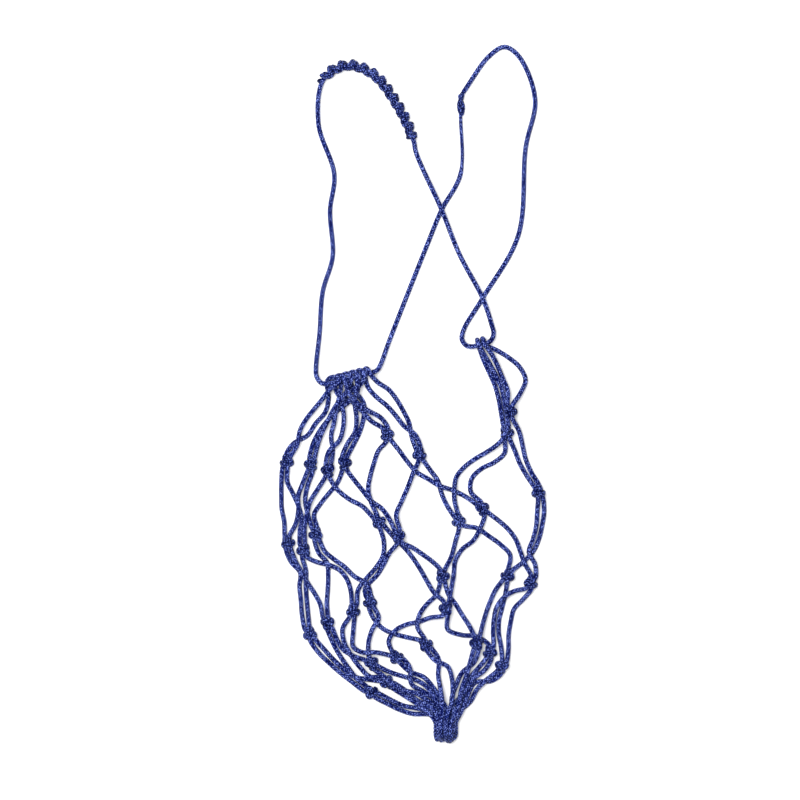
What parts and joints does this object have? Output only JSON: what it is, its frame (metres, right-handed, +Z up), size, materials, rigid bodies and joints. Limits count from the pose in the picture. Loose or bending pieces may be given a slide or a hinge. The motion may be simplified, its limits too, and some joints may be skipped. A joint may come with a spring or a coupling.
{
  "type": "hay net",
  "caption": "Knotted net bag of round braided cord, laid flat, with a drawstring carry loop that has a knotted hand grip.",
  "frame": {"origin": "on the floor that the net lies on, under the middle of the net and its grip", "axes": "+Y from the bottom tip towards the mouth and the carry loop, +Z up from the floor, +X to the right"},
  "size_m": [0.2549, 0.6634, 0.0198],
  "materials": {
    "net_cord": "glossy braided polypropylene filament",
    "knots": "glossy braided polypropylene filament, pulled tight",
    "drawstring": "glossy braided polypropylene filament",
    "grip": "half-hitched braided cord"
  },
  "bodies": {
    "net": {"net_cord_1": "net_cord", "net_cord_2": "net_cord", "net_cord_3": "net_cord", "net_cord_4": "net_cord", "net_cord_5": "net_cord", "net_cord_6": "net_cord", "net_cord_7": "net_cord", "net_cord_8": "net_cord", "knot_lower_12": "knots", "knot_lower_23": "knots", "knot_lower_34": "knots", "knot_lower_45": "knots", "knot_lower_56": "knots", "knot_lower_67": "knots", "knot_lower_78": "knots", "knot_lower_81": "knots", "knot_middle_1": "knots", "knot_middle_2": "knots", "knot_middle_3": "knots", "knot_middle_4": "knots", "knot_middle_5": "knots", "knot_middle_6": "knots", "knot_middle_7": "knots", "knot_middle_8": "knots", "knot_mouth_1": "knots", "knot_mouth_2": "knots", "knot_mouth_3": "knots", "knot_mouth_4": "knots", "knot_mouth_5": "knots", "knot_mouth_6": "knots", "knot_mouth_7": "knots", "knot_mouth_8": "knots", "knot_upper_12": "knots", "knot_upper_23": "knots", "knot_upper_34": "knots", "knot_upper_45": "knots", "knot_upper_56": "knots", "knot_upper_67": "knots", "knot_upper_78": "knots", "knot_upper_81": "knots", "bottom_tip": "knots"},
    "carry_loop": {"drawstring": "drawstring", "grip": "grip", "joint_knot": "drawstring"}
  },
  "joints": [
    {"name": "carry_loop_lift", "type": "hinge", "parent": "net", "child": "carry_loop", "pos_m": [-0.0606, 0.0221, 0.0075], "axis": [0.9686, 0.2487, 0], "range_deg": [0, 105]}
  ]
}
